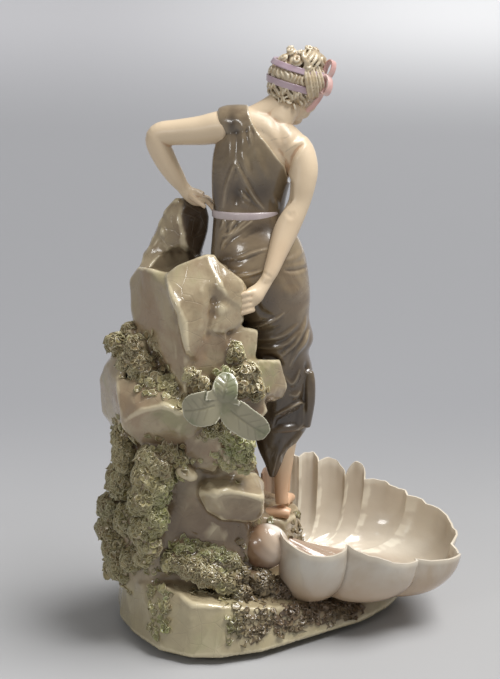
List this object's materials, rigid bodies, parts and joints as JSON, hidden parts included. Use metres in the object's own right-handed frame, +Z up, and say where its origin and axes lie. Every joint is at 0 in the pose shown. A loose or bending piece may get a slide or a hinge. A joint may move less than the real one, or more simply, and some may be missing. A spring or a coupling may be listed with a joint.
{
  "type": "porcelain figural centerpiece with a shell bowl",
  "caption": "Glazed porcelain centerpiece: a draped maiden leans on a mossy rock vase above a fluted shell bowl, on a low oval plinth.",
  "frame": {"origin": "on the flat underside, near the middle of the plinth", "axes": "+Z up, +X along the shell bowl away from the rock vase, +Y the way the maiden looks, -Y the side that shows her back"},
  "size_m": [0.3294, 0.2088, 0.502],
  "materials": {
    "glazed_porcelain": "cream and ivory glaze with green and pink-brown washes, a bronze-brown gown and a pearly shell; satin to glossy"
  },
  "bodies": {
    "root": {"centerpiece": "glazed_porcelain"}
  },
  "joints": []
}
